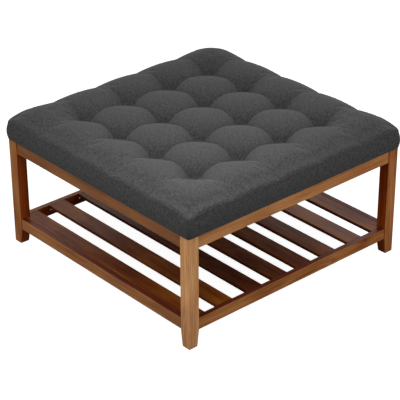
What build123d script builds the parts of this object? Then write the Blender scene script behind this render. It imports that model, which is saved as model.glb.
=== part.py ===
from build123d import *
import math
import os

# Ottoman coffee table: a wooden leg frame with a slatted shelf and a tufted seat on top.
# Millimetres. X runs along the slats, Z points up, and the origin is on the floor
# under the middle of the table.

# Driving dimensions
table_width = 770.0        # over the outer faces of the legs, along X
table_depth = 770.0        # over the outer faces of the legs, along Y
overall_height = 419.0     # floor to the crown of a puff
frame_height = 330.0       # floor to the tops of the legs and aprons

# Legs
leg_size = 34.0            # square section
foot_height = 46.5         # floor to where the foot starts to taper, and to the lower rails
foot_taper = 5.5           # taken off each of the two inner faces at the floor
leg_arris = 1.8            # radius of the upright edges

# Aprons, the upper rails of the frame
apron_height = 40.0
apron_thickness = 16.0
face_setback = 3.5         # aprons and rails stand this far back from the legs' outer faces
board_arris = 1.2          # radius of the long edges of aprons, rails and slats

# Lower rails
rail_height = 34.0
rail_thickness = 16.0

# Slats of the shelf
slat_thickness = 10.0
slat_width = 54.0
edge_slat_width = 50.0     # the first and last slats lie against the front and back rails
middle_gap = 36.4          # between the two slats nearest the middle
inner_gap = 40.0           # next gap outwards
outer_gap = 52.0           # next gap outwards
slat_end_gap = 0.3         # slat to rail, and notch to leg

# Pins that carry the slats
pin_head_radius = 4.0
pin_head_length = 5.0
pin_dome = 1.2             # rounding of the head's outer rim
pin_shank_radius = 2.5
pin_shank_length = 9.0
pin_edge_inset = 4.2       # pin centre to the slat's edge
pin_side_reach = 260.0     # middle of the rail to the outer pins under an edge slat
pin_clearance = 0.05

# Dowels at the ends of aprons and rails
dowel_radius = 4.0
dowel_length = 30.0
dowel_chamfer = 1.0
dowel_clearance = 0.1
dowel_end_clearance = 0.5
apron_dowel_spacing = 20.0
rail_dowel_spacing = 16.0

# Corner blocks inside the aprons
block_thickness = 22.0
block_height = 32.0
block_drop = 4.0           # block top below the apron top
block_leg_gap = 2.0        # block to the inner arris of the leg

# Hanger bolts, washers and nuts that draw the legs into the corners
bolt_radius = 3.0
bolt_bite = 20.0           # length inside the leg
bolt_tail = 3.0            # length past the nut
bolt_clearance = 0.5
washer_radius = 8.0
washer_thickness = 1.5
nut_flats = 10.0
nut_height = 5.0
thread_clearance = 0.05

# Screws
screw_radius = 2.0
screw_head_radius = 4.0
screw_head_height = 2.4
screw_tip = 3.0            # length of the point
screw_clearance = 0.05
screw_head_clearance = 0.4
block_screw_bite = 12.0    # length inside the apron
block_screw_spacing = 16.0
seat_screw_bite = 8.0      # length inside the seat board
seat_screw_spacing = 24.0

# Seat: dust cover, cover, board and foam
cushion_overhang = 6.0     # widest point of the seat outside the legs' outer faces
dust_cover_thickness = 0.5
dust_cover_inset = 18.0    # edge of the dust cover to the widest point of the seat
cover_thickness = 1.5
wrap_width = 55.0          # cover turned under the board
board_thickness = 12.0
board_margin = 12.5        # board edge to the widest point of the seat
board_corner_radius = 12.0

# Tufted form of the seat
puffs_across = 5           # rows and columns of puffs
crease_depth = 20.0        # crown to the middle of a crease
dimple_depth = 39.0        # crown to the bottom of a tuft
edge_drop = 11.0           # crown to the top of the shoulder, at the middle of a puff
pleat_drop = 21.0          # crown to the top of the shoulder, at a pleat
corner_drop = 15.0         # crown to the top of the shoulder, at a corner
pleat_draw = 2.0           # side drawn in at a pleat
side_bulge = 3.0           # side swells between hem and shoulder
hem_radius = 6.0
shoulder_radius = 27.0
shoulder_turn = 72.0       # degrees of arc over the shoulder
cushion_corner_radius = 17.0
station_shares = (-1.0, -0.6, 0.0, 0.6, 1.0)   # places along a puff, of half its length
lift_shares = (0.0, 0.72, 1.0, 0.72, 0.0)      # how far the puff has risen there
outer_lift_shares = (0.0, 0.72, 1.0, 1.0, 1.0)  # the same along the side of an outer puff

# Tuft ties
tie_radius = 1.2
tie_clearance = 0.2
tie_head_radius = 3.4
tie_head_thickness = 1.8
tie_head_round = 1.0
tie_knot_radius = 4.5
tie_knot_thickness = 2.4

cut_overrun = 5.0          # cutters run this far past the faces they open

# Places worked out from the sizes above
half_width = table_width / 2
half_depth = table_depth / 2
leg_inner_x = half_width - leg_size
leg_inner_y = half_depth - leg_size
apron_inner_x = half_width - face_setback - apron_thickness
apron_inner_y = half_depth - face_setback - apron_thickness
rail_inner_x = half_width - face_setback - rail_thickness
rail_inner_y = half_depth - face_setback - rail_thickness
apron_bottom = frame_height - apron_height
rail_top = foot_height + rail_height
slat_bottom = rail_top - slat_thickness
pin_level = slat_bottom - pin_head_radius
block_top = frame_height - block_drop
block_bottom = block_top - block_height
block_middle = block_bottom + block_height / 2
cushion_half_width = half_width + cushion_overhang
cushion_half_depth = half_depth + cushion_overhang
cover_bottom = frame_height + dust_cover_thickness
board_bottom = cover_bottom + cover_thickness
board_top = board_bottom + board_thickness
crease_level = overall_height - crease_depth
dimple_level = overall_height - dimple_depth
edge_level = overall_height - edge_drop
pleat_level = overall_height - pleat_drop
corner_level = overall_height - corner_drop
pleat_levels = (dimple_level, crease_level, pleat_level)   # crease, crown and shoulder at a pleat
puff_levels = (crease_level, overall_height, edge_level)   # at the middle of a puff
side_levels = (pleat_level, edge_level, corner_level)      # at the seat's side
puff_width = table_width / puffs_across
puff_depth = table_depth / puffs_across
corners = {
    "front_left": (-1, -1),
    "front_right": (1, -1),
    "back_right": (1, 1),
    "back_left": (-1, 1),
}


def bar(x_span, y_span, z_span):
    """A square-cornered bar between two limits along each axis."""
    size = [high - low for low, high in (x_span, y_span, z_span)]
    middle = [(low + high) / 2 for low, high in (x_span, y_span, z_span)]
    return Pos(*middle) * Box(*size)


def rod(start, end, radius):
    """A round bar from one point to another."""
    start = Vector(*start)
    run = Vector(*end) - start
    plane = Plane(origin=start, z_dir=run)
    return extrude(plane * Circle(radius), run.length)


def stepped_pin(start, end, steps, clearance=0.0):
    """A turned pin: steps are (distance along, radius) pairs, each followed by the next."""
    start = Vector(*start)
    run = Vector(*end) - start
    outline = [(0, 0)]
    outline += [(radius + clearance, along) for along, radius in steps]
    outline += [(0, steps[-1][0])]
    profile = make_face(Polyline(*outline, close=True))
    pin = revolve(Plane.XZ * profile, Axis.Z)
    return Plane(origin=start, z_dir=run).location * pin


def one(shape):
    """The single solid that a finished piece consists of."""
    solids = shape.solids()
    if len(solids) != 1:
        raise ValueError(f"expected one solid, found {len(solids)}")
    return solids[0]


def save(name, solids):
    """Write one piece, or a group of identical pieces, as one named part."""
    shape = solids[0] if len(solids) == 1 else Compound(solids)
    shape.label = name
    export_step(shape, f"parts/{name}.step")


# Dowels

def dowel_ends(side_x, side_y):
    """Where dowels cross from the leg at one corner into its aprons and rails."""
    apron_levels = [frame_height - apron_height / 2 + side * apron_dowel_spacing / 2 for side in (-1, 1)]
    rail_levels = [foot_height + rail_height / 2 + side * rail_dowel_spacing / 2 for side in (-1, 1)]
    rows = [("apron", apron_levels, apron_thickness), ("rail", rail_levels, rail_thickness)]
    ends = []
    for family, levels, thickness in rows:
        middle_x = half_width - face_setback - thickness / 2
        middle_y = half_depth - face_setback - thickness / 2
        for level in levels:
            ends.append((family, (side_x * leg_inner_x, side_y * middle_y, level), (side_x, 0, 0)))
            ends.append((family, (side_x * middle_x, side_y * leg_inner_y, level), (0, side_y, 0)))
    return ends


def dowel(place, direction, clearance=0.0, end_clearance=0.0):
    """One dowel, centred on the joint; with clearances it is the cutter for its holes."""
    half = (dowel_length / 2 + end_clearance) * Vector(*direction)
    low = Vector(*place) - half
    full = dowel_length + 2 * end_clearance
    steps = [
        (0, dowel_radius - dowel_chamfer),
        (dowel_chamfer, dowel_radius),
        (full - dowel_chamfer, dowel_radius),
        (full, dowel_radius - dowel_chamfer),
    ]
    return stepped_pin(tuple(low), tuple(low + 2 * half), steps, clearance)


def all_dowels(family=None):
    """Places and directions of the dowels at all four corners."""
    places = []
    for side_x, side_y in corners.values():
        places += [end for end in dowel_ends(side_x, side_y) if family in (None, end[0])]
    return places


def dowel_holes():
    """Cutters for every dowel hole in legs, aprons and rails."""
    return [dowel(place, way, dowel_clearance, dowel_end_clearance) for _, place, way in all_dowels()]


# Hanger bolts through the corner blocks, at 45 degrees into the legs

def diagonal_point(side_x, side_y, along):
    """A point on the bolt's line: along is measured outwards from the leg's inner arris."""
    step = along / math.sqrt(2)
    return (side_x * (leg_inner_x + step), side_y * (leg_inner_y + step), block_middle)


def block_face_offsets():
    """The block's outer and inner faces, measured along the bolt from the leg's arris."""
    return -block_leg_gap, -block_leg_gap - block_thickness


def hanger_bolt(side_x, side_y, clearance=0.0):
    _, inner_face = block_face_offsets()
    tail = inner_face - washer_thickness - nut_height - bolt_tail
    length = bolt_bite - tail
    steps = [(0, bolt_radius), (length - bolt_radius, bolt_radius), (length, bolt_radius / 2)]
    start = diagonal_point(side_x, side_y, tail)
    end = diagonal_point(side_x, side_y, bolt_bite)
    return stepped_pin(start, end, steps, clearance)


def bolt_washer(side_x, side_y):
    _, inner_face = block_face_offsets()
    start = diagonal_point(side_x, side_y, inner_face - washer_thickness)
    end = diagonal_point(side_x, side_y, inner_face)
    return rod(start, end, washer_radius) - rod(start, end, bolt_radius + bolt_clearance / 2)


def bolt_nut(side_x, side_y):
    _, inner_face = block_face_offsets()
    start = Vector(*diagonal_point(side_x, side_y, inner_face - washer_thickness - nut_height))
    end = Vector(*diagonal_point(side_x, side_y, inner_face - washer_thickness))
    plane = Plane(origin=start, z_dir=end - start)
    corner_radius = nut_flats / math.sqrt(3)
    body = extrude(plane * RegularPolygon(corner_radius, 6), nut_height)
    return body - rod(tuple(start), tuple(end), bolt_radius + thread_clearance)


# Screws

def screw(start, end, clearance=0.0, head_clearance=0.0, head_sink=0.0):
    """A round-headed wood screw from the back of its head to its point.

    With clearances it is the cutter for its hole, and head_sink opens a pocket behind the head.
    """
    start = Vector(*start)
    run = Vector(*end) - start
    way = run.normalized()
    length = run.length
    steps = [
        (screw_head_height, screw_radius),
        (length - screw_tip, screw_radius),
        (length, screw_radius / 4),
    ]
    shank = stepped_pin(tuple(start), tuple(end), [(0, screw_radius)] + steps, clearance)
    head_start = start - way * head_sink
    head_end = start + way * screw_head_height
    return shank + rod(tuple(head_start), tuple(head_end), screw_head_radius + head_clearance)


def block_screw_lines(side_x, side_y):
    """Head and point of the four screws that hold one corner block to its two aprons."""
    outer_sum = leg_inner_x + leg_inner_y - block_leg_gap * math.sqrt(2)
    inner_sum = outer_sum - block_thickness * math.sqrt(2)
    middle_sum = (outer_sum + inner_sum) / 2
    head_depth = screw_head_radius + screw_head_clearance
    lines = []
    for side in (-1, 1):
        level = block_middle + side * block_screw_spacing / 2
        y = middle_sum - apron_inner_x
        head_x = inner_sum - y + head_depth
        tip_x = apron_inner_x + block_screw_bite
        lines.append(((side_x * head_x, side_y * y, level), (side_x * tip_x, side_y * y, level)))
        x = middle_sum - apron_inner_y
        head_y = inner_sum - x + head_depth
        tip_y = apron_inner_y + block_screw_bite
        lines.append(((side_x * x, side_y * head_y, level), (side_x * x, side_y * tip_y, level)))
    return lines


def seat_screw_lines(side_x, side_y):
    """Head and point of the two screws that go up through one corner block into the seat board."""
    outer_face, inner_face = block_face_offsets()
    step = (outer_face + inner_face) / 2 / math.sqrt(2)
    spread = seat_screw_spacing / 2 / math.sqrt(2)
    lines = []
    for side in (-1, 1):
        x = side_x * (leg_inner_x + step + side * spread)
        y = side_y * (leg_inner_y + step - side * spread)
        head_level = block_bottom - screw_head_height
        lines.append(((x, y, head_level), (x, y, board_bottom + seat_screw_bite)))
    return lines


def all_lines(finder):
    """Screw lines of one kind at all four corners."""
    lines = []
    for side_x, side_y in corners.values():
        lines += finder(side_x, side_y)
    return lines


def block_screw_holes():
    return [
        screw(head, tip, screw_clearance, screw_head_clearance, block_thickness)
        for head, tip in all_lines(block_screw_lines)
    ]


def seat_screw_holes():
    return [screw(head, tip, screw_clearance) for head, tip in all_lines(seat_screw_lines)]


# Pins under the slats

def slat_spans():
    """Front and back limits of the eight slats along Y, front first."""
    edge_inner = rail_inner_y - edge_slat_width
    starts = [middle_gap / 2]
    starts.append(starts[-1] + slat_width + inner_gap)
    starts.append(starts[-1] + slat_width + outer_gap)
    back_half = [(start, start + slat_width) for start in starts]
    back_half.append((edge_inner, rail_inner_y - slat_end_gap))
    front_half = [(-high, -low) for low, high in reversed(back_half)]
    return front_half + back_half


def pin_places():
    """Face point and outward direction of every pin, on the inner faces of the lower rails."""
    spans = slat_spans()
    places = []
    for side_x in (-1, 1):
        face = side_x * rail_inner_x
        for low, high in spans[1:-1]:
            places.append(((face, low + pin_edge_inset, pin_level), (-side_x, 0, 0)))
            places.append(((face, high - pin_edge_inset, pin_level), (-side_x, 0, 0)))
        for side_y in (-1, 1):
            y = side_y * (rail_inner_y - edge_slat_width + pin_edge_inset)
            places.append(((face, y, pin_level), (-side_x, 0, 0)))
    for side_y in (-1, 1):
        for x in (-pin_side_reach, 0, pin_side_reach):
            places.append(((x, side_y * rail_inner_y, pin_level), (0, -side_y, 0)))
    return places


def slat_pin(place, way):
    """A round-headed support pin: its shank is in the rail and its head carries a slat."""
    root = Vector(*place) - Vector(*way) * pin_shank_length
    tip = Vector(*place) + Vector(*way) * pin_head_length
    full = pin_shank_length + pin_head_length
    steps = [
        (0, pin_shank_radius),
        (pin_shank_length, pin_shank_radius),
        (pin_shank_length, pin_head_radius),
        (full - pin_dome, pin_head_radius),
        (full, pin_head_radius - pin_dome),
    ]
    return stepped_pin(tuple(root), tuple(tip), steps)


def pin_holes():
    holes = []
    for place, way in pin_places():
        root = Vector(*place) - Vector(*way) * pin_shank_length
        holes.append(rod(tuple(root), place, pin_shank_radius + pin_clearance))
    return holes


# Frame pieces

def leg(side_x, side_y):
    """A square leg whose foot tapers on its two inner faces."""
    def section(size, level):
        reach = size / 2
        middle = (side_x * (half_width - reach), side_y * (half_depth - reach), level)
        return Pos(*middle) * RectangleRounded(size, size, leg_arris)

    post = extrude(section(leg_size, foot_height), frame_height - foot_height)
    foot = loft([section(leg_size - foot_taper, 0), section(leg_size, foot_height)], ruled=True)
    body = post + foot
    body -= [dowel(place, way, dowel_clearance, dowel_end_clearance)
             for _, place, way in dowel_ends(side_x, side_y)]
    return body - hanger_bolt(side_x, side_y, thread_clearance)


def long_bar(x_span, y_span, z_span, run):
    """A bar whose edges along its run are eased."""
    plain = bar(x_span, y_span, z_span)
    return fillet(plain.edges().filter_by(run), board_arris)


def frame_bars(inner_x, inner_y, thickness, z_span):
    """Four bars between the legs: front, back, left and right."""
    x_run = (-leg_inner_x, leg_inner_x)
    y_run = (-leg_inner_y, leg_inner_y)
    return {
        "front": long_bar(x_run, (-inner_y - thickness, -inner_y), z_span, Axis.X),
        "back": long_bar(x_run, (inner_y, inner_y + thickness), z_span, Axis.X),
        "left": long_bar((-inner_x - thickness, -inner_x), y_run, z_span, Axis.Y),
        "right": long_bar((inner_x, inner_x + thickness), y_run, z_span, Axis.Y),
    }


def slat(low, high):
    """A slat between the left and right rails; the outermost two are notched round the legs."""
    reach = rail_inner_x - slat_end_gap
    body = long_bar((-reach, reach), (low, high), (slat_bottom, rail_top), Axis.X)
    for side_x, side_y in corners.values():
        notch_x = sorted((side_x * (leg_inner_x - slat_end_gap), side_x * half_width))
        notch_y = sorted((side_y * (leg_inner_y - slat_end_gap), side_y * half_depth))
        body -= bar(notch_x, notch_y, (foot_height, frame_height))
    return body


def corner_block(side_x, side_y):
    """A block across the corner, between two aprons and just clear of the leg."""
    outer_sum = leg_inner_x + leg_inner_y - block_leg_gap * math.sqrt(2)
    inner_sum = outer_sum - block_thickness * math.sqrt(2)
    outline = [
        (outer_sum - apron_inner_y, apron_inner_y),
        (apron_inner_x, outer_sum - apron_inner_x),
        (apron_inner_x, inner_sum - apron_inner_x),
        (inner_sum - apron_inner_y, apron_inner_y),
    ]
    face = make_face(Polyline(*[(side_x * x, side_y * y) for x, y in outline], close=True))
    body = extrude(Pos(0, 0, block_bottom) * face, block_height, dir=(0, 0, 1))
    _, inner_face = block_face_offsets()
    hole_start = diagonal_point(side_x, side_y, inner_face)
    hole_end = diagonal_point(side_x, side_y, 0)
    body -= rod(hole_start, hole_end, bolt_radius + bolt_clearance)
    body -= [screw(head, tip, screw_clearance, screw_head_clearance, block_thickness)
             for head, tip in block_screw_lines(side_x, side_y)]
    body -= [screw(head, tip, screw_clearance) for head, tip in seat_screw_lines(side_x, side_y)]
    return body


# Tufted form

def between(low, high, share):
    """Levels that lie a share of the way from one set to another."""
    return [start + (end - start) * share for start, end in zip(low, high)]


def pleat_between(lift):
    """Levels and draw part of the way from a pleat up to the middle of a puff."""
    return between(pleat_levels, puff_levels, lift), pleat_draw * (1 - lift)


def inner_stops(half_puff):
    """Places along an inner puff, about its middle, with levels and draw."""
    return [
        (station * half_puff, *pleat_between(lift))
        for station, lift in zip(station_shares, lift_shares)
    ]


def outer_stops(tuft_line, outer_edge):
    """Places along an outer puff, from its pleat to past the seat's side, with levels and draw."""
    shoulder_line = outer_edge - side_bulge - shoulder_radius
    span = shoulder_line - tuft_line
    rise = tuft_line + span * (1 + station_shares[1]) / 2
    return [
        (tuft_line, *pleat_between(lift_shares[0])),
        (rise, *pleat_between(lift_shares[1])),
        (tuft_line + span / 2, *pleat_between(lift_shares[2])),
        (shoulder_line, side_levels, 0),
        (outer_edge + cut_overrun, side_levels, 0),
    ]


def side_outline(outer_edge, shoulder_level, base, shrink):
    """Arcs of hem, side and shoulder as triples of points, from the bottom up."""
    outer = outer_edge - shrink - side_bulge
    hem = hem_radius - shrink
    turn = shoulder_radius - shrink
    ease = math.cos(math.radians(45))
    hem_middle = (outer - hem + hem * ease, base + hem - hem * ease)
    centre = (outer - turn, shoulder_level - turn)
    side_middle = (outer + side_bulge, (base + hem + centre[1]) / 2)
    angle = math.radians(shoulder_turn)
    middle = (centre[0] + turn * math.cos(angle / 2), centre[1] + turn * math.sin(angle / 2))
    end = (centre[0] + turn * math.cos(angle), centre[1] + turn * math.sin(angle))
    return [
        ((outer - hem, base), hem_middle, (outer, base + hem)),
        ((outer, base + hem), side_middle, (outer, centre[1])),
        ((outer, centre[1]), middle, end),
    ]


def seat_section(along, levels, draw, base, shrink):
    """An upright section right across the seat from front to back, at one place along it."""
    crease, crown, shoulder = [level - shrink for level in levels]
    back = side_outline(cushion_half_depth - draw, shoulder, base, shrink)
    front = [[(-y, z) for y, z in reversed(arc)] for arc in reversed(back)]
    tops = [front[0][0]]
    tops += [(-half_depth + row * puff_depth, crease) for row in range(1, puffs_across)]
    tops.append(back[-1][2])
    crowns = [(low, ((low[0] + high[0]) / 2, crown), high) for low, high in zip(tops, tops[1:])]
    lines = [Line(front[-1][2], back[0][0])]
    lines += [ThreePointArc(*arc) for arc in back + crowns + front]
    return Plane(origin=(along, 0, 0), x_dir=(0, 1, 0), z_dir=(1, 0, 0)) * make_face(lines)


def strip(stops, base, shrink):
    """One column of puffs, from one crease to the next."""
    return loft([seat_section(place, levels, draw, base, shrink) for place, levels, draw in stops])


def right_side(base, shrink):
    """The space inside the seat's right side: hem, side and shoulder, open above the puffs."""
    tuft_line = half_depth - puff_depth
    half_outer = (cushion_half_depth + cut_overrun - tuft_line) / 2
    outer = [
        (tuft_line + (1 + station) * half_outer, pleat_draw * (1 - lift))
        for station, lift in zip(station_shares, outer_lift_shares)
    ]
    places = [(-place, draw) for place, draw in reversed(outer[1:])]
    for row in range(1, puffs_across - 1):
        middle = -half_depth + (row + 0.5) * puff_depth
        places += [(middle + place, draw) for place, _, draw in inner_stops(puff_depth / 2)[:-1]]
    places += outer
    slope = math.tan(math.radians(90 - shoulder_turn))
    sections = []
    for place, draw in places:
        arcs = side_outline(cushion_half_width - draw, edge_level - shrink, base, shrink)
        end = arcs[-1][2]
        inner = (0, end[1] + end[0] * slope)
        lines = [Line((0, base), arcs[0][0]), *[ThreePointArc(*arc) for arc in arcs]]
        lines += [Line(end, inner), Line(inner, (0, base))]
        plane = Plane(origin=(0, place, 0), x_dir=(1, 0, 0), z_dir=(0, -1, 0))
        sections.append(plane * make_face(lines))
    return loft(sections)


def right_strip(base, shrink):
    """The right-hand column of puffs, rolled over the seat's right side and round its corners."""
    outline = RectangleRounded(
        2 * (cushion_half_width - shrink), 2 * (cushion_half_depth - shrink),
        cushion_corner_radius - shrink)
    post = extrude(Pos(0, 0, base) * outline, overall_height)
    body = strip(outer_stops(half_width - puff_width, cushion_half_width), base, shrink)
    return body & right_side(base, shrink) & post


def tuft_places():
    """Where the tufts are, in plan."""
    lines = range(1, puffs_across)
    return [
        (-half_width + column * puff_width, -half_depth + row * puff_depth)
        for row in lines for column in lines
    ]


def tufted_form(base, shrink):
    """The seat's outer form, drawn in all over by shrink: puffs, creases, pleats and tufts."""
    right = right_strip(base, shrink)
    inner = strip(inner_stops(puff_width / 2), base, shrink)
    strips = [right, mirror(right, about=Plane.YZ)]
    for column in range(1, puffs_across - 1):
        strips.append(Pos(-half_width + (column + 0.5) * puff_width, 0, 0) * inner)
    form = strips[0].fuse(*strips[1:])
    floor = dimple_level - shrink
    pocket = tie_head_radius + tie_clearance + shrink
    form -= [rod((x, y, floor), (x, y, overall_height), pocket) for x, y in tuft_places()]
    return form


# Seat pieces

def tuft_tie(x, y):
    """Twine pulled through the seat, with a stitched head above and a knot under the board."""
    shank = rod((x, y, board_bottom), (x, y, dimple_level), tie_radius)
    head = Pos(x, y, dimple_level + tie_head_thickness / 2) * Cylinder(tie_head_radius, tie_head_thickness)
    head = fillet(head.edges().group_by(Axis.Z)[-1], tie_head_round)
    knot = rod((x, y, board_bottom), (x, y, board_bottom + tie_knot_thickness), tie_knot_radius)
    return shank + head + knot


def tie_holes():
    """Holes for the twine through cover, foam and board, and for the knots in the board."""
    holes = []
    for x, y in tuft_places():
        holes.append(rod((x, y, board_bottom), (x, y, overall_height), tie_radius + tie_clearance))
    return holes


def knot_holes():
    depth = tie_knot_thickness + tie_clearance
    return [
        rod((x, y, board_bottom), (x, y, board_bottom + depth), tie_knot_radius + tie_clearance)
        for x, y in tuft_places()
    ]


def seat_board_blank(overrun=0.0):
    """The board before drilling; with an overrun below, it is the cutter for its space."""
    outline = RectangleRounded(
        2 * (cushion_half_width - board_margin), 2 * (cushion_half_depth - board_margin),
        board_corner_radius)
    return extrude(Pos(0, 0, board_bottom - overrun) * outline, board_thickness + overrun)


def dust_cover():
    outline = RectangleRounded(
        2 * (cushion_half_width - dust_cover_inset), 2 * (cushion_half_depth - dust_cover_inset),
        board_corner_radius)
    sheet = extrude(Pos(0, 0, frame_height) * outline, dust_cover_thickness)
    return sheet - seat_screw_holes()


def main():
    os.makedirs("parts", exist_ok=True)
    apron_cutters = dowel_holes() + block_screw_holes()
    rail_cutters = dowel_holes() + pin_holes()
    for name, (side_x, side_y) in corners.items():
        save(f"leg_{name}", [one(leg(side_x, side_y))])
        save(f"corner_block_{name}", [one(corner_block(side_x, side_y))])
    aprons = frame_bars(apron_inner_x, apron_inner_y, apron_thickness, (apron_bottom, frame_height))
    for name, body in aprons.items():
        save(f"apron_{name}", [one(body - apron_cutters)])
    rails = frame_bars(rail_inner_x, rail_inner_y, rail_thickness, (foot_height, rail_top))
    for name, body in rails.items():
        save(f"lower_rail_{name}", [one(body - rail_cutters)])
    for number, (low, high) in enumerate(slat_spans(), start=1):
        save(f"slat_{number}", [one(slat(low, high))])
    save("slat_pins", [one(slat_pin(place, way)) for place, way in pin_places()])
    save("apron_dowels", [one(dowel(place, way)) for _, place, way in all_dowels("apron")])
    save("rail_dowels", [one(dowel(place, way)) for _, place, way in all_dowels("rail")])
    save("leg_bolts", [one(hanger_bolt(*sides)) for sides in corners.values()])
    save("leg_bolt_washers", [one(bolt_washer(*sides)) for sides in corners.values()])
    save("leg_bolt_nuts", [one(bolt_nut(*sides)) for sides in corners.values()])
    save("block_screws", [one(screw(head, tip)) for head, tip in all_lines(block_screw_lines)])
    save("seat_screws", [one(screw(head, tip)) for head, tip in all_lines(seat_screw_lines)])
    save("dust_cover", [one(dust_cover())])

    save("seat_board", [one(seat_board_blank() - seat_screw_holes() - tie_holes() - knot_holes())])
    filling = tufted_form(board_bottom, cover_thickness)
    save("seat_foam", [one(filling - seat_board_blank(cut_overrun) - tie_holes())])
    opening = bar(
        (wrap_width - cushion_half_width, cushion_half_width - wrap_width),
        (wrap_width - cushion_half_depth, cushion_half_depth - wrap_width),
        (cover_bottom - cut_overrun, board_top))
    cover = tufted_form(cover_bottom, 0.0) - filling - opening
    save("seat_cover", [one(cover - seat_screw_holes() - tie_holes())])
    save("tuft_ties", [one(tuft_tie(x, y)) for x, y in tuft_places()])


main()
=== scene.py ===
import math

import bpy
import numpy as np
from mathutils import Matrix, Vector


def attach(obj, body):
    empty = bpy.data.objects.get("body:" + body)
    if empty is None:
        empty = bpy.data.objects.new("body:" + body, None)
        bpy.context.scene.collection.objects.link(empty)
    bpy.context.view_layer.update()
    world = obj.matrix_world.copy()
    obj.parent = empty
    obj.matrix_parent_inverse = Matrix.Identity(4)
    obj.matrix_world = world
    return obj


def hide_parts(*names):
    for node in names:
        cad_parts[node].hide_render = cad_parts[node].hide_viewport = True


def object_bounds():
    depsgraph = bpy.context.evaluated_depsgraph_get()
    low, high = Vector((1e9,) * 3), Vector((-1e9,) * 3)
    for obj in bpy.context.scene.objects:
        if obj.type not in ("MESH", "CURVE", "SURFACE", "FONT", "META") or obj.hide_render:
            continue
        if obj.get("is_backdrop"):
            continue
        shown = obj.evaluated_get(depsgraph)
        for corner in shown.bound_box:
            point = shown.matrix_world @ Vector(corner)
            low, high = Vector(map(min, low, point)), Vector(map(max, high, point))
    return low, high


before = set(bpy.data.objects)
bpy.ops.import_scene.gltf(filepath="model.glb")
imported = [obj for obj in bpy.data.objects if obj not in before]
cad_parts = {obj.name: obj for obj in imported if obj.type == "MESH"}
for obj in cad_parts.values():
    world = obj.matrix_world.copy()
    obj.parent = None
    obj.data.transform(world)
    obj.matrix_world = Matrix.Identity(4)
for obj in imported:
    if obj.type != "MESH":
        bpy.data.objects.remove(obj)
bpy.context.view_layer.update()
bpy.ops.object.select_all(action="DESELECT")
scene = bpy.context.scene


# Camera: a long lens four and a half metres away, above the table's front right corner.
# Its place, turn and lens are those of the photograph, found from the edges of legs, rails and tufts.
camera_place = Vector((2.935974, -2.587062, 2.26969))
camera_azimuth = math.radians(48.706)
camera_elevation = math.radians(28.479)
camera_roll = math.radians(-0.277)
back = Vector((math.sin(camera_azimuth) * math.cos(camera_elevation),
               -math.cos(camera_azimuth) * math.cos(camera_elevation),
               math.sin(camera_elevation)))
across = Vector((math.cos(camera_azimuth), math.sin(camera_azimuth), 0))
upward = back.cross(across)
camera_right = across * math.cos(camera_roll) + upward * math.sin(camera_roll)
camera_up = upward * math.cos(camera_roll) - across * math.sin(camera_roll)
camera_data = bpy.data.cameras.new("table_camera")
camera_data.sensor_width = 36
camera_data.lens = 140.881
camera_data.clip_end = 60
camera = bpy.data.objects.new("table_camera", camera_data)
scene.collection.objects.link(camera)
camera.matrix_world = Matrix.Translation(camera_place) @ Matrix(
    (camera_right, camera_up, back)).transposed().to_4x4()
scene.camera = camera


# Surroundings: the plain white of a catalogue picture.
# The camera and the lacquer's reflections see them white, and the table gets only a little light from them.
def calculate(tree, operation, *values):
    """One step of arithmetic; each value is a number or another node's output."""
    step = tree.nodes.new("ShaderNodeMath")
    step.operation = operation
    for socket, value in zip(step.inputs, values):
        if isinstance(value, (int, float)):
            socket.default_value = value
        else:
            tree.links.new(value, socket)
    return step.outputs[0]


sky_light = 0.22
sky_seen = 1.0
scene.view_settings.view_transform = "Standard"
world = bpy.data.worlds.new("studio")
scene.world = world
world.use_nodes = True
tree = world.node_tree
tree.nodes.clear()
rays = tree.nodes.new("ShaderNodeLightPath")
choose = tree.nodes.new("ShaderNodeMixShader")
tree.links.new(calculate(tree, "MAXIMUM", rays.outputs["Is Camera Ray"], rays.outputs["Is Glossy Ray"]),
               choose.inputs["Fac"])
for entry, strength in ((1, sky_light), (2, sky_seen)):
    sky = tree.nodes.new("ShaderNodeBackground")
    sky.inputs["Color"].default_value = (1, 1, 1, 1)
    sky.inputs["Strength"].default_value = strength
    tree.links.new(sky.outputs[0], choose.inputs[entry])
tree.links.new(choose.outputs[0], tree.nodes.new("ShaderNodeOutputWorld").inputs["Surface"])


# Lights: a soft spotlight high behind the table brings out the puffs and the tops of the slats.
# One softbox hangs above the near corner, and one stands before each of the two sides that are seen.
spot_width = math.radians(18)
studio_lights = (   # name, kind, watts, breadth, place, and the way it points
    ("back_light", "SPOT", 930, 0.7, (-2.1, 2.3, 3.6), (2.76, -2.86, -3.2)),
    ("front_softbox", "AREA", 7.7, 0.8, (0.38, -0.48, 1.3), (-0.1, 0.1, -1.0)),
    ("side_softbox", "AREA", 6.4, 0.6, (-0.3, -1.7, 0.6), (0.4, 1.4, -0.4)),
    ("right_softbox", "AREA", 6.6, 0.8, (1.7, 0.42, 0.6), (-1.4, -0.5, -0.4)),
)
for name, kind, watts, breadth, place, way in studio_lights:
    lamp = bpy.data.lights.new(name, kind)
    lamp.energy = watts
    if kind == "SPOT":
        lamp.spot_size = spot_width
        lamp.spot_blend = 1.0
        lamp.shadow_soft_size = breadth
    else:
        lamp.size = breadth
    light = bpy.data.objects.new(name, lamp)
    scene.collection.objects.link(light)
    light.location = place
    light.rotation_mode = "QUATERNION"
    light.rotation_quaternion = Vector(way).to_track_quat("-Z", "Y")


# Floor: matt white, wider than the view, so that no edge of it shows.
# To the camera it glows nearly white, so the table's shadow stays faint, and it throws little light back up.
def new_surface(name):
    """A new material, with its node tree and its shader."""
    material = bpy.data.materials.new(name)
    material.use_nodes = True
    return material, material.node_tree, material.node_tree.nodes["Principled BSDF"]


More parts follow.
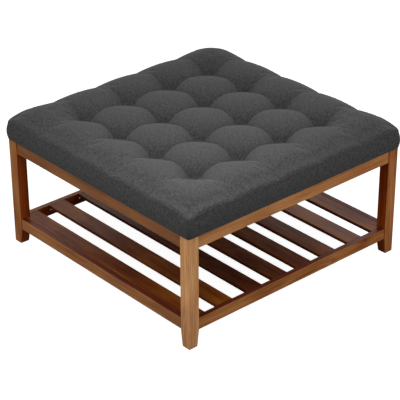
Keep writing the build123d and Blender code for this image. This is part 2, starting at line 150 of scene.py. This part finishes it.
def mixed_colour(tree, amount, first, second, blend="MIX"):
    """Two colours mixed by an amount; each colour is three numbers or another node's output."""
    mix = tree.nodes.new("ShaderNodeMix")
    mix.data_type = "RGBA"
    mix.blend_type = blend
    tree.links.new(amount, mix.inputs["Factor"])
    for entry, colour in (("A", first), ("B", second)):
        if isinstance(colour, tuple):
            mix.inputs[entry].default_value = (*colour, 1)
        else:
            tree.links.new(colour, mix.inputs[entry])
    return mix.outputs["Result"]


floor_half = 8.0
floor_cells = 8
bpy.ops.mesh.primitive_grid_add(
    x_subdivisions=floor_cells, y_subdivisions=floor_cells, size=2 * floor_half, location=(0, 0, 0))
floor = bpy.context.object
floor.name = "studio_floor"
floor_white, tree, shader = new_surface("studio_white")
shader.inputs["Roughness"].default_value = 0.9
shader.inputs["Specular IOR Level"].default_value = 0.0
shader.inputs["Emission Strength"].default_value = 0.92
to_camera = tree.nodes.new("ShaderNodeLightPath").outputs["Is Camera Ray"]
white = mixed_colour(tree, to_camera, (0.35, 0.345, 0.34), (0.9, 0.9, 0.9))
glow = mixed_colour(tree, to_camera, (0, 0, 0), (1, 1, 1))
tree.links.new(white, shader.inputs["Base Color"])
tree.links.new(glow, shader.inputs["Emission Color"])
floor.data.materials.append(floor_white)
floor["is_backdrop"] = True


# Legs, aprons, lower rails and slats: stained hardwood under clear semi-gloss lacquer.
# Each board is sawn lengthwise, so its grain runs along it, and no two boards match.
# Painted shade darkens the colour on the inner faces, the rails' tops and the slats' edges, where little
# light reaches under the seat.
def new_effect(name, entry, results):
    """An effect for materials to share: its node tree, what comes into it, and where its results go."""
    tree = bpy.data.node_groups.new(name, "ShaderNodeTree")
    tree.interface.new_socket(entry, in_out="INPUT", socket_type="NodeSocketVector")
    for result in results:
        tree.interface.new_socket(result, in_out="OUTPUT", socket_type="NodeSocketFloat")
    return tree, tree.nodes.new("NodeGroupInput").outputs[entry], tree.nodes.new("NodeGroupOutput").inputs


def texture(tree, kind, place, **settings):
    """A pattern read at a place; the settings are the pattern's inputs by name."""
    pattern = tree.nodes.new(kind)
    tree.links.new(place, pattern.inputs["Vector"])
    for name, value in settings.items():
        pattern.inputs[name.title()].default_value = value
    return pattern.outputs["Fac"]


def stretched_noise(tree, place, cells, **settings):
    """Noise with that many cells per metre along each axis."""
    squeeze = tree.nodes.new("ShaderNodeMapping")
    squeeze.inputs["Scale"].default_value = cells
    tree.links.new(place, squeeze.inputs["Vector"])
    return texture(tree, "ShaderNodeTexNoise", squeeze.outputs["Vector"], scale=1.0, **settings)


def carried_over(tree, value, limits=(0, 1), results=(0, 1)):
    """A value carried from one range over to another, and held at its ends."""
    carry = tree.nodes.new("ShaderNodeMapRange")
    for name, number in zip(("From Min", "From Max", "To Min", "To Max"), (*limits, *results)):
        carry.inputs[name].default_value = number
    tree.links.new(value, carry.inputs["Value"])
    return carry.outputs["Result"]


def colour_ramp(tree, amount, first, last, *between):
    """A colour that follows an amount through its stops, each a place and a colour."""
    ramp = tree.nodes.new("ShaderNodeValToRGB")
    for stop, (position, colour) in zip(ramp.color_ramp.elements, (first, last)):
        stop.position = position
        stop.color = (*colour, 1)
    for position, colour in between:
        ramp.color_ramp.elements.new(position).color = (*colour, 1)
    tree.links.new(amount, ramp.inputs["Fac"])
    return ramp.outputs["Color"]


def add_relief(tree, shader, height, strength, distance):
    """Fine bumps that follow a height; distance is their real height in metres."""
    relief = tree.nodes.new("ShaderNodeBump")
    relief.inputs["Strength"].default_value = strength
    relief.inputs["Distance"].default_value = distance
    tree.links.new(height, relief.inputs["Height"])
    tree.links.new(relief.outputs["Normal"], shader.inputs["Normal"])


def wood_grain_group():
    """Growth rings, streaks and pores of a board whose length runs along X."""
    pith_y = 0.052              # the middle of the tree lies this far beside the board
    pith_z = 0.085              # and this far below it
    ring_pace = 1350            # radians per metre, a ring every 4.7 mm
    ring_sway = 0.05            # the rings wander this far along the board
    ring_share = 0.10
    streak_share = 0.36
    cloud_share = 0.64
    pore_limits = (0.60, 0.72)
    tree, board, leave = new_effect("wood_grain", "Board", ("Tone", "Pores", "Height"))
    sway = stretched_noise(tree, board, (2.2, 14, 14), detail=3, roughness=0.5)
    streaks = stretched_noise(tree, board, (5, 330, 330), detail=4, roughness=0.6)
    clouds = stretched_noise(tree, board, (5, 26, 26), detail=3, roughness=0.55)
    dashes = stretched_noise(tree, board, (55, 1500, 1500), detail=2, roughness=0.5)
    split = tree.nodes.new("ShaderNodeSeparateXYZ")
    tree.links.new(board, split.inputs[0])
    off_y = calculate(tree, "ADD", split.outputs["Y"], pith_y)
    off_z = calculate(tree, "ADD", split.outputs["Z"], pith_z)
    square = calculate(tree, "ADD", calculate(tree, "MULTIPLY", off_y, off_y),
                       calculate(tree, "MULTIPLY", off_z, off_z))
    radius = calculate(tree, "ADD", calculate(tree, "SQRT", square),
                       calculate(tree, "MULTIPLY", sway, ring_sway))
    rings = calculate(tree, "SINE", calculate(tree, "MULTIPLY", radius, ring_pace))
    rings = calculate(tree, "MULTIPLY_ADD", rings, 0.5, 0.5)
    tone = calculate(tree, "MULTIPLY", rings, ring_share)
    tone = calculate(tree, "ADD", tone, calculate(tree, "MULTIPLY", streaks, streak_share))
    tone = calculate(tree, "ADD", tone, calculate(tree, "MULTIPLY", clouds, cloud_share))
    pores = carried_over(tree, dashes, pore_limits)
    height = calculate(tree, "SUBTRACT", calculate(tree, "MULTIPLY", streaks, 0.5), pores)
    tree.links.new(tone, leave["Tone"])
    tree.links.new(pores, leave["Pores"])
    tree.links.new(height, leave["Height"])
    return tree


wood_grain = wood_grain_group()
turn_to_run = {"X": (0, 0, 0), "Y": (0, 0, math.radians(-90)), "Z": (0, math.radians(90), 0)}
pore_fill = 0.45            # how much of the stain's colour a pore takes away
pore_shade = 0.45           # colour in a pore, as a share of the stain's dark tone


def stained_wood(name, run, start, dark, middle, light, coat=0.19, roughness=0.42,
                 facing=(0, 0, 0), facing_limits=(0.45, 0.75), deep=(1, 1, 1)):
    """Stained and lacquered wood with its grain along one axis; start shifts the grain.
    Faces that look the way of facing carry painted shade, and deep is what it leaves of the colour."""
    material, tree, shader = new_surface(name)
    place = tree.nodes.new("ShaderNodeTexCoord")
    turn = tree.nodes.new("ShaderNodeMapping")
    turn.inputs["Rotation"].default_value = turn_to_run[run]
    turn.inputs["Location"].default_value = start
    tree.links.new(place.outputs["Object"], turn.inputs["Vector"])
    grain = tree.nodes.new("ShaderNodeGroup")
    grain.node_tree = wood_grain
    tree.links.new(turn.outputs["Vector"], grain.inputs["Board"])
    stain = colour_ramp(tree, grain.outputs["Tone"], (0.36, dark), (0.68, light), (0.52, middle))
    filled = mixed_colour(tree, calculate(tree, "MULTIPLY", grain.outputs["Pores"], pore_fill),
                          stain, tuple(pore_shade * value for value in dark))
    # Painted shade: faces that look the way of facing take the colour deep over their own.
    turned = tree.nodes.new("ShaderNodeVectorMath")
    turned.operation = "DOT_PRODUCT"
    turned.inputs[1].default_value = facing
    tree.links.new(place.outputs["Normal"], turned.inputs[0])
    painted_shade_share = carried_over(tree, turned.outputs["Value"], facing_limits)
    tree.links.new(mixed_colour(tree, painted_shade_share, filled, deep, blend="MULTIPLY"), shader.inputs["Base Color"])
    gloss = carried_over(tree, grain.outputs["Tone"], results=(roughness - 0.05, roughness + 0.06))
    tree.links.new(gloss, shader.inputs["Roughness"])
    shader.inputs["Specular IOR Level"].default_value = 0.06
    shader.inputs["Coat Weight"].default_value = coat
    shader.inputs["Coat Roughness"].default_value = 0.22
    add_relief(tree, shader, grain.outputs["Height"], strength=0.25, distance=0.0002)
    return material


def dress(node, material):
    """Give a piece of the table its finish."""
    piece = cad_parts[node]
    piece.data.materials.clear()
    piece.data.materials.append(material)


walnut_heart = ((0.225, 0.056, 0.006), (0.450, 0.160, 0.038), (0.640, 0.280, 0.090))
# The slats' colours are the frame's wood made darker and redder: painted shade for their place under the
# seat.
walnut_slat_painted_shade = ((0.085, 0.012, 0.001), (0.205, 0.042, 0.003), (0.400, 0.120, 0.012))
walnut_sap = (0.62, 0.42, 0.26)
tone_powers = (1, 1.3, 1.7)         # a paler board has gained more green and blue than red
# Painted shade on faces the seat keeps the light from: what each leaves of the wood's colour.
inner_face_painted_shade = (0.82, 0.37, 0.17)
rail_top_painted_shade = (0.34, 0.15, 0.14)
slat_edge_painted_shade = (0.45, 0.35, 0.40)
grain_steps = (0.37, 0.013, -0.011)     # from one board to the next, in metres


def board_colours(stain, tone, sap):
    """A board's three tones, with its share of pale sapwood mixed in."""
    colours = []
    for colour in stain:
        heart = [value * tone ** power for value, power in zip(colour, tone_powers)]
        colours.append([pale * sap + deep * (1 - sap) for pale, deep in zip(walnut_sap, heart)])
    return colours


def grain_start(number):
    """Where a board's grain starts: each was sawn from another place in the tree."""
    along, beside, above = grain_steps
    return along * number, beside * (number % 5), above * (number % 4)


# Each board of the frame: its run, tone and share of sapwood, then the way its faces with painted shade look
# The tones differ partly as the boards' own wood and partly as painted light: the near front right leg is
# painted lighter where the lamps fall on it, and the front apron darker for the shade under the seat.
frame_boards = {
    "leg_front_left": ("Z", 0.80, 0.06, (1, 1, 0)),
    "leg_front_right": ("Z", 1.50, 0.23, (-1, 1, 0)),
    "leg_back_right": ("Z", 0.83, 0.02, (-1, -1, 0)),
    "leg_back_left": ("Z", 0.90, 0.10, (1, -1, 0)),
    "apron_front": ("X", 0.49, 0.09, (0, 1, 0)),
    "apron_back": ("X", 0.70, 0.10, (0, -1, 0)),
    "apron_left": ("Y", 0.80, 0.08, (1, 0, 0)),
    "apron_right": ("Y", 1.00, 0.08, (-1, 0, 0)),
    "lower_rail_front": ("X", 0.70, 0.09, (0, 1, 1)),
    "lower_rail_back": ("X", 0.75, 0.08, (0, -1, 1)),
    "lower_rail_left": ("Y", 0.75, 0.05, (1, 0, 0)),
    "lower_rail_right": ("Y", 0.82, 0.02, (-1, 0, 1)),
}
for number, (node, (run, tone, sap, facing)) in enumerate(frame_boards.items()):
    # Painted shade: rails with a top under the seat take the rail-top shade, the other boards the inner-face
    # shade.
    deep = rail_top_painted_shade if facing[2] else inner_face_painted_shade
    dress(node, stained_wood(f"walnut_{node}", run, grain_start(number),
                             *board_colours(walnut_heart, tone, sap), facing=facing, deep=deep))
slat_tones = (0.88, 0.92, 0.44, 0.46, 0.60, 0.70, 0.84, 1.06)
slat_edge_limits = (0.75, 0.45)     # from the other side: painted shade on the faces that don't look upwards
# The slats carry painted shade on their edges.
for number, tone in enumerate(slat_tones, start=1):
    dress(f"slat_{number}", stained_wood(
        f"walnut_slat_painted_shade_{number}", "X", grain_start(number + len(frame_boards) - 1),
        *board_colours(walnut_slat_painted_shade, tone, 0.0),
        facing=(0, 0, 1), facing_limits=slat_edge_limits, deep=slat_edge_painted_shade))


# Corner blocks and dowels: planed hardwood with no finish, since neither shows on the standing table.
# The blocks lie across the corners inside the aprons and are screwed to them.
# The dowels are glued into blind holes, and hold aprons and lower rails to the legs.
bare_hardwood = ((0.42, 0.28, 0.15), (0.54, 0.39, 0.23), (0.66, 0.50, 0.32))
for number, corner in enumerate(("front_left", "front_right", "back_right", "back_left")):
    dress(f"corner_block_{corner}", stained_wood(
        f"hardwood_block_{corner}", "X", (0.2 * number, 0, 0.02), *bare_hardwood, coat=0.0, roughness=0.62))
for node in ("apron_dowels", "rail_dowels"):
    dress(node, stained_wood(
        f"hardwood_{node}", "X", (0.9, 0, 0), *bare_hardwood, coat=0.0, roughness=0.6))


# Slat pins, hanger bolts, washers, nuts and screws: turned steel, nickel plated where it shows.
# The slats lie on the pins' round heads. The rest is zinc plated: bolts hold the legs, and screws hold
# the corner blocks and the seat board.
def plated_steel(name, colour, roughness, scratch_scale):
    """Plated metal whose gloss is broken by fine scratches and small stains."""
    stain_scale = 160
    stain_shade = 0.82
    material, tree, shader = new_surface(name)
    shader.inputs["Metallic"].default_value = 1.0
    place = tree.nodes.new("ShaderNodeTexCoord").outputs["Object"]
    scratches = texture(tree, "ShaderNodeTexNoise", place, scale=scratch_scale, detail=4)
    stains = texture(tree, "ShaderNodeTexNoise", place, scale=stain_scale, detail=2)
    gloss = carried_over(tree, scratches, results=(roughness * 0.7, roughness * 1.3))
    tree.links.new(gloss, shader.inputs["Roughness"])
    stained = tuple(stain_shade * value for value in colour)
    tree.links.new(mixed_colour(tree, stains, stained, colour), shader.inputs["Base Color"])
    add_relief(tree, shader, scratches, strength=0.2, distance=0.0001)
    return material


dress("slat_pins", plated_steel("nickel_plate", (0.78, 0.76, 0.73), 0.22, 1800))
zinc_plate = plated_steel("zinc_plate", (0.62, 0.63, 0.66), 0.32, 1500)
for node in ("leg_bolts", "leg_bolt_washers", "leg_bolt_nuts", "block_screws", "seat_screws"):
    dress(node, zinc_plate)


# Seat board: one square of sanded plywood with rounded corners, which carries foam and cover.
# Screws come up into it through the corner blocks, and the ties pass through it.
plywood = ((0.46, 0.32, 0.18), (0.57, 0.42, 0.25), (0.66, 0.51, 0.33))
dress("seat_board", stained_wood("sanded_plywood", "X", (0.4, 0.1, 0.3), *plywood, coat=0.0, roughness=0.6))


# Tuft ties: dark waxed twine, twisted from strands.
# Each has a stitched head in its tuft, goes down through cover, foam and board, and is knotted underneath.
twine, tree, shader = new_surface("waxed_twine")
shader.inputs["Roughness"].default_value = 0.7
place = tree.nodes.new("ShaderNodeTexCoord").outputs["Object"]
strands = texture(tree, "ShaderNodeTexWave", place, scale=900, distortion=1.5)
strands.node.bands_direction = "DIAGONAL"
tree.links.new(mixed_colour(tree, strands, (0.012, 0.012, 0.013), (0.045, 0.045, 0.048)),
               shader.inputs["Base Color"])
add_relief(tree, shader, strands, strength=0.6, distance=0.0003)
dress("tuft_ties", twine)


# Dust cover: black non-woven lining, cut square and stapled over the turned-in edge of the seat's cover.
# It is stretched under the seat, and between its held edges it sags a little and ripples.
lining_half = 0.373
lining_level = 0.33025
lining_thickness = 0.0004
lining_cells = 90
held_half = 0.362           # outside this the staples hold it flat
sag_run = 0.08              # and over this run inwards it comes free
lining_sag = 0.0035
ripple_height = 0.0005
ripple_pace_x = 61          # radians per metre
ripple_pace_y = 17
ripple_shift = 1.3
wander = 2.1                # the ripples along Y bend to and fro by this much
wander_pace = 9
sheet_line = np.linspace(-lining_half, lining_half, lining_cells + 1)
grid_x, grid_y = np.meshgrid(sheet_line, sheet_line, indexing="ij")
inside = np.clip((held_half - np.maximum(abs(grid_x), abs(grid_y))) / sag_run, 0, 1)
ripple = np.sin(grid_x * ripple_pace_x + wander * np.sin(grid_y * wander_pace))
ripple = ripple * np.sin(grid_y * ripple_pace_y + ripple_shift) * ripple_height
sag = lining_sag * inside * inside * (3 - 2 * inside) + ripple * inside
points = np.stack([grid_x, grid_y, lining_level - sag], axis=-1).reshape(-1, 3)
index = np.arange((lining_cells + 1) ** 2).reshape(lining_cells + 1, lining_cells + 1)
faces = np.stack([index[:-1, :-1], index[:-1, 1:], index[1:, 1:], index[1:, :-1]], axis=-1).reshape(-1, 4)
lining_mesh = bpy.data.meshes.new("dust_lining")
lining_mesh.from_pydata(points.tolist(), [], faces.tolist())
lining = bpy.data.objects.new("dust_lining", lining_mesh)
scene.collection.objects.link(lining)
lining_mesh.shade_smooth()
thicken = lining.modifiers.new("thickness", "SOLIDIFY")
thicken.thickness = lining_thickness
thicken.offset = 0.0
lining_cloth, tree, shader = new_surface("black_lining")
shader.inputs["Roughness"].default_value = 0.85
place = tree.nodes.new("ShaderNodeTexCoord").outputs["Object"]
fibres = texture(tree, "ShaderNodeTexNoise", place, scale=900, detail=5, distortion=1.2)
tree.links.new(mixed_colour(tree, fibres, (0.010, 0.010, 0.011), (0.035, 0.035, 0.037)),
               shader.inputs["Base Color"])
add_relief(tree, shader, fibres, strength=0.5, distance=0.0003)
lining_mesh.materials.append(lining_cloth)
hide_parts("dust_cover")
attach(lining, "root")


# Seat: one piece of charcoal linen-look cloth over thick foam and wadding, pulled over the board's edge.
# Sixteen ties draw it down in a square pattern, so that it stands up in 25 puffs with creases between.
# At the bottom it is folded in under the board, just outside the legs and aprons.
puff = 0.154                # tuft to tuft
cells_per_puff = 32
cell = puff / cells_per_puff
rim_cells = 75              # cells from the middle to the start of the shoulder
rim = rim_cells * cell
crown_level = 0.419
tuft_drop = 0.039           # crown to the bottom of a tuft
tuft_round = 0.004          # softens the step from a dome to the tuft's bottom
dome_depth = 0.050          # height of the whole dome that a puff is part of
dome_reach = 0.101          # its half width
pinch = 1.7                 # below 2, the puffs are drawn in towards the tufts
outer_line = 2 * puff       # middle of the outer puffs
outer_round = 0.6           # past it they fall off at this share of their pace
edge_drop = 0.011           # crown to the rim, at the middle of a puff
pleat_run = 0.125           # past the last tufts the pleats die out over this run
pleat_left = 0.55           # down to this share
seat_half = 0.388           # at the hem
side_bulge = 0.003          # between hem and shoulder
shoulder_round = 0.014
shoulder_corner = 0.012     # the corners' radius at the shoulder
hem_corner = 0.006          # and at the hem
corner_run = 0.061          # the cloth's cells are drawn round a corner from this far off
rim_slope = math.radians(22.5)      # of the cloth where the shoulder starts
hem_level = 0.3283          # lowest point of the folded edge
hem_fold = 0.0009           # radius of the folded edge
seat_bottom = 0.3305
turned_in = (0.0, 0.001, 0.006, 0.013, 0.021, 0.030)    # rows of the cloth under the board


def across_puff(place):
    """Where a place lies across its puff, from -1 to 1, and how far out it is past the last crown."""
    share = (place / puff + 0.5) % 1.0 * 2 - 1
    past = np.clip(np.abs(place) - outer_line, 0, None)
    return np.where(past > 0, outer_round * past * 2 / puff, share), past / (rim - outer_line)


def pleat_depth(place):
    """The pleats between the outer puffs die out past the last row of tufts."""
    share = np.clip((np.abs(place) - 1.5 * puff) / pleat_run, 0, 1)
    return 1 - (1 - pleat_left) * share * share * (3 - 2 * share)


def seat_level(x, y):
    """The cloth's level anywhere on top of the seat: each puff is a dome that ends in the tufts."""
    share_x, outer_x = across_puff(x)
    share_y, outer_y = across_puff(y)
    away_x = np.abs(share_x * pleat_depth(y)) ** pinch
    away_y = np.abs(share_y * pleat_depth(x)) ** pinch
    away = (away_x + away_y) ** (1 / pinch)
    away *= puff / 2 / dome_reach
    drop = dome_depth * (1 - np.sqrt(np.clip(1 - away ** 2, 0, 1)))
    mixed = np.clip(0.5 + 0.5 * (tuft_drop - drop) / tuft_round, 0, 1)
    drop = tuft_drop * (1 - mixed) + drop * mixed - tuft_round * mixed * (1 - mixed)
    drop += edge_drop * (outer_x ** 2 + outer_y ** 2)
    return crown_level - drop


# The top's grid of points, and its rim as one line round the seat
line = np.arange(-rim_cells, rim_cells + 1) * cell
top_x, top_y = np.meshgrid(line, line, indexing="ij")
top_points = np.stack([top_x, top_y, seat_level(top_x, top_y)], axis=-1)
count = 2 * rim_cells + 1
top_index = np.arange(count * count).reshape(count, count)
rim_index = np.concatenate([top_index[:-1, 0], top_index[-1, :-1], top_index[:0:-1, -1], top_index[0, :0:-1]])
rim_points = top_points.reshape(-1, 3)[rim_index]
side_number = np.repeat(np.arange(4), count - 1)
side_along = np.concatenate([line[:-1], line[:-1], -line[:-1], -line[:-1]])
side_ways = (((1, 0), (0, -1)), ((0, 1), (1, 0)), ((1, 0), (0, 1)), ((0, 1), (-1, 0)))   # run, outwards


def rim_ring(out, corner):
    """Points round the seat at that distance outside the rim, with corners of that radius."""
    half = rim + out
    keep = rim - corner_run
    reach = half - corner + math.pi / 4 * corner
    along = np.abs(side_along)
    stretched = np.where(along < keep, along, keep + (along - keep) / (rim - keep) * (reach - keep))
    straight = half - corner
    angle = np.clip(stretched - straight, 0, None) / max(corner, 1e-9)
    local_along = np.where(stretched <= straight, stretched, straight + corner * np.sin(angle))
    local_out = np.where(stretched <= straight, half, straight + corner * np.cos(angle))
    local_along = local_along * np.sign(side_along)
    ring = np.zeros((len(along), 2))
    for number, (run, outwards) in enumerate(side_ways):
        chosen = side_number == number
        ring[chosen] = np.outer(local_along[chosen], run) + np.outer(local_out[chosen], outwards)
    return ring


# The outline from the rim over the shoulder, down the side, round the hem and in underneath.
# Each row is its distance outside the rim, its level, and its share of the way up from hem to shoulder.
# A level counts from the rim on the shoulder, and has no value on the side, where the share gives it.
lead_rows = 3
shoulder_rows = 9
side_rows = 10
hem_rows = 6
side_out = seat_half - rim
outline = []
lead = side_out - shoulder_round * (1 - math.sin(rim_slope))
for row in range(1, lead_rows + 1):
    share = row / lead_rows
    outline.append((lead * share, -lead * share * math.tan(rim_slope), 1.0))
centre_drop = lead * math.tan(rim_slope) + shoulder_round * math.cos(rim_slope)
for row in range(1, shoulder_rows + 1):
    angle = rim_slope + (math.pi / 2 - rim_slope) * row / shoulder_rows
    outline.append((side_out - shoulder_round * (1 - math.sin(angle)),
                    shoulder_round * math.cos(angle) - centre_drop, 1.0))
for row in range(1, side_rows):
    share = row / side_rows
    outline.append((side_out + side_bulge * math.sin(math.pi * share), None, 1 - share))
for row in range(hem_rows + 1):
    angle = math.pi * row / hem_rows
    outline.append((side_out - hem_fold * (1 - math.cos(angle)),
                    hem_level + hem_fold * (1 - math.sin(angle)), 0.0))
for inward in turned_in:
    outline.append((side_out - 2 * hem_fold - inward, seat_bottom, 0.0))

rim_level = rim_points[:, 2]
side_top = rim_level - centre_drop
rings = []
for out, level, share in outline:
    corner = hem_corner + (shoulder_corner - hem_corner) * share
    corner *= min(max(out / side_out, 0.0), 1.0)
    ring = rim_ring(out, min(corner, 0.8 * (rim + out)))
    if level is None:
        height = hem_level + hem_fold + (side_top - hem_level - hem_fold) * share
    elif share == 1.0:
        height = rim_level + level
    else:
        height = np.full(len(ring), level)
    rings.append(np.column_stack([ring, height]))

# One mesh of the top, the rings round it and the point in the middle underneath
points = np.concatenate([top_points.reshape(-1, 3)] + rings + [np.array([[0, 0, seat_bottom]])])
faces = np.stack([top_index[:-1, :-1], top_index[1:, :-1], top_index[1:, 1:], top_index[:-1, 1:]], axis=-1)
faces = faces.reshape(-1, 4).tolist()
around = len(rim_index)
start = count * count
ring_index = [rim_index] + [start + number * around + np.arange(around) for number in range(len(rings))]
for inner, outer in zip(ring_index, ring_index[1:]):
    faces += np.stack([inner, outer, np.roll(outer, -1), np.roll(inner, -1)], axis=-1).tolist()
last = ring_index[-1]
centre = len(points) - 1
faces += [[int(a), centre, int(b)] for a, b in zip(last, np.roll(last, -1))]
seat_mesh = bpy.data.meshes.new("tufted_seat")
seat_mesh.from_pydata(points.tolist(), [], faces)
seat = bpy.data.objects.new("tufted_seat", seat_mesh)
scene.collection.objects.link(seat)

# The cloth's own lengthwise and crosswise measure, for its weave
side_row_length = 0.0045    # the weave counts the rows of the side as this far apart
travel = [0.0]
for (out_before, level_before, _), (out, level, _) in zip([(0, 0, 1)] + outline, outline):
    if level is None or level_before is None:
        travel.append(travel[-1] + side_row_length)
    else:
        travel.append(travel[-1] + math.hypot(out - out_before, level - level_before))
outwards = np.array([way for _, way in side_ways])[side_number]
lay = np.zeros((len(points), 2))
lay[:start] = top_points.reshape(-1, 3)[:, :2]
for number, distance in enumerate(travel[1:]):
    low = start + number * around
    lay[low:low + around] = rim_points[:, :2] + outwards * distance
cloth_lay = seat_mesh.uv_layers.new(name="cloth")
corner_vertex = np.zeros(len(seat_mesh.loops), dtype=np.int32)
seat_mesh.loops.foreach_get("vertex_index", corner_vertex)
cloth_lay.data.foreach_set("uv", lay[corner_vertex].astype(np.float32).ravel())

# How firmly ties, foam and board hold the cloth: 1 is fast
puff_hold = 0.15
crease_hold = 0.50
side_hold = 0.35
hem_height = 0.0045         # what lies less than this above the seat's bottom is held fast
weights = np.full(len(points), puff_hold)
in_crease = np.maximum(np.abs(across_puff(top_x)[0]), np.abs(across_puff(top_y)[0])) > 0.999
weights[:start][in_crease.ravel()] = crease_hold
weights[start:] = side_hold
tuft_cells = [rim_cells + offset * cells_per_puff // 2 for offset in (-3, -1, 1, 3)]
for i in tuft_cells:
    for j in tuft_cells:
        stitched = top_index[i - 1:i + 2, j - 1:j + 2]
        weights[stitched] = 1.0
        points[stitched, 2] = crown_level - tuft_drop
weights[points[:, 2] < seat_bottom + hem_height] = 1.0
seat_mesh.vertices.foreach_set("co", points.astype(np.float32).ravel())
hold = seat.vertex_groups.new(name="held")
for value in np.unique(weights):
    hold.add(np.nonzero(weights == value)[0].tolist(), float(value), "REPLACE")

# Pressure from inside swells the cloth, as the filling does
last_frame = 20
most_travel = 0.010
cloth = seat.modifiers.new("cloth", "CLOTH")
cloth.settings.quality = 6
cloth.settings.mass = 0.25
cloth.settings.tension_stiffness = 25
cloth.settings.compression_stiffness = 20
cloth.settings.shear_stiffness = 12
cloth.settings.bending_stiffness = 4
cloth.settings.air_damping = 2
cloth.settings.use_pressure = True
cloth.settings.uniform_pressure_force = 3.0
cloth.settings.shrink_min = -0.010
cloth.settings.vertex_group_mass = "held"
cloth.settings.pin_stiffness = 1.0
cloth.settings.effector_weights.gravity = 0
cloth.point_cache.frame_start = 1
cloth.point_cache.frame_end = last_frame
for moment in range(1, last_frame + 1):
    scene.frame_set(moment)
settled = seat.evaluated_get(bpy.context.evaluated_depsgraph_get())
moved = np.zeros(len(points) * 3, dtype=np.float32)
settled.data.vertices.foreach_get("co", moved)
seat.modifiers.remove(cloth)
scene.frame_set(1)
shift = moved.reshape(-1, 3) - points
length = np.linalg.norm(shift, axis=1, keepdims=True)
shift *= np.minimum(1, most_travel / np.maximum(length, 1e-9))
points = points + shift
points[:, 2] = np.maximum(points[:, 2], hem_level)
seat_mesh.vertices.foreach_set("co", points.astype(np.float32).ravel())
seat_mesh.update()

# The flat underside is one face, put back after the rest is made finer
bpy.ops.object.select_all(action="DESELECT")
bpy.context.view_layer.objects.active = seat
seat.select_set(True)
bpy.ops.object.mode_set(mode="EDIT")
bpy.ops.mesh.select_all(action="DESELECT")
bpy.ops.object.mode_set(mode="OBJECT")
seat.data.vertices[centre].select = True
bpy.ops.object.mode_set(mode="EDIT")
bpy.ops.mesh.delete(type="VERT")
bpy.ops.object.mode_set(mode="OBJECT")
finer = seat.modifiers.new("finer", "SUBSURF")
finer.levels = finer.render_levels = 1
bpy.ops.object.modifier_apply(modifier="finer")
bpy.ops.object.mode_set(mode="EDIT")
bpy.ops.mesh.select_all(action="DESELECT")
bpy.ops.mesh.select_non_manifold()
bpy.ops.mesh.edge_face_add()
bpy.ops.object.mode_set(mode="OBJECT")
seat.data.shade_smooth()
seat.select_set(False)


def plain_weave_group():
    """Warp and weft threads of uneven thickness, in metres of cloth."""
    thread_width = 0.0011
    slub_share = 0.57           # the rest of the tone is blotches of the dye
    weave_height = 0.35
    tree, lay, leave = new_effect("plain_weave", "Lay", ("Tone", "Height"))
    warp_slubs = stretched_noise(tree, lay, (900, 60, 1), detail=2)
    weft_slubs = stretched_noise(tree, lay, (60, 900, 1), detail=2)
    blotch = stretched_noise(tree, lay, (260, 150, 1), detail=3)
    split = tree.nodes.new("ShaderNodeSeparateXYZ")
    tree.links.new(lay, split.inputs[0])
    pace = math.pi / thread_width
    warp = calculate(tree, "SINE", calculate(tree, "MULTIPLY", split.outputs["X"], pace))
    weft = calculate(tree, "SINE", calculate(tree, "MULTIPLY", split.outputs["Y"], pace))
    weave = calculate(tree, "MULTIPLY", warp, weft)
    slubs = calculate(tree, "ADD", calculate(tree, "MULTIPLY", warp_slubs, 0.5),
                      calculate(tree, "MULTIPLY", weft_slubs, 0.5))
    tone = calculate(tree, "ADD", calculate(tree, "MULTIPLY", slubs, slub_share),
                     calculate(tree, "MULTIPLY", blotch, 1 - slub_share))
    height = calculate(tree, "ADD", calculate(tree, "MULTIPLY", weave, weave_height), slubs)
    tree.links.new(tone, leave["Tone"])
    tree.links.new(height, leave["Height"])
    return tree


linen, tree, shader = new_surface("charcoal_linen")
shader.inputs["Roughness"].default_value = 0.72
shader.inputs["Specular IOR Level"].default_value = 0.15
shader.inputs["Sheen Weight"].default_value = 0.05
shader.inputs["Sheen Roughness"].default_value = 0.45
lay_of_cloth = tree.nodes.new("ShaderNodeUVMap")
lay_of_cloth.uv_map = "cloth"
weave = tree.nodes.new("ShaderNodeGroup")
weave.node_tree = plain_weave_group()
tree.links.new(lay_of_cloth.outputs["UV"], weave.inputs["Lay"])
dark_thread = (0.015, 0.015, 0.015)
light_thread = (0.090, 0.090, 0.090)
threads = colour_ramp(tree, weave.outputs["Tone"], (0.36, dark_thread), (0.64, light_thread))
tree.links.new(threads, shader.inputs["Base Color"])
add_relief(tree, shader, weave.outputs["Height"], strength=0.6, distance=0.0004)
seat.data.materials.clear()
seat.data.materials.append(linen)
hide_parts("seat_cover", "seat_foam")
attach(seat, "root")


# Size: the lowest and highest corners of the dressed table, in metres.
low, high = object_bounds()
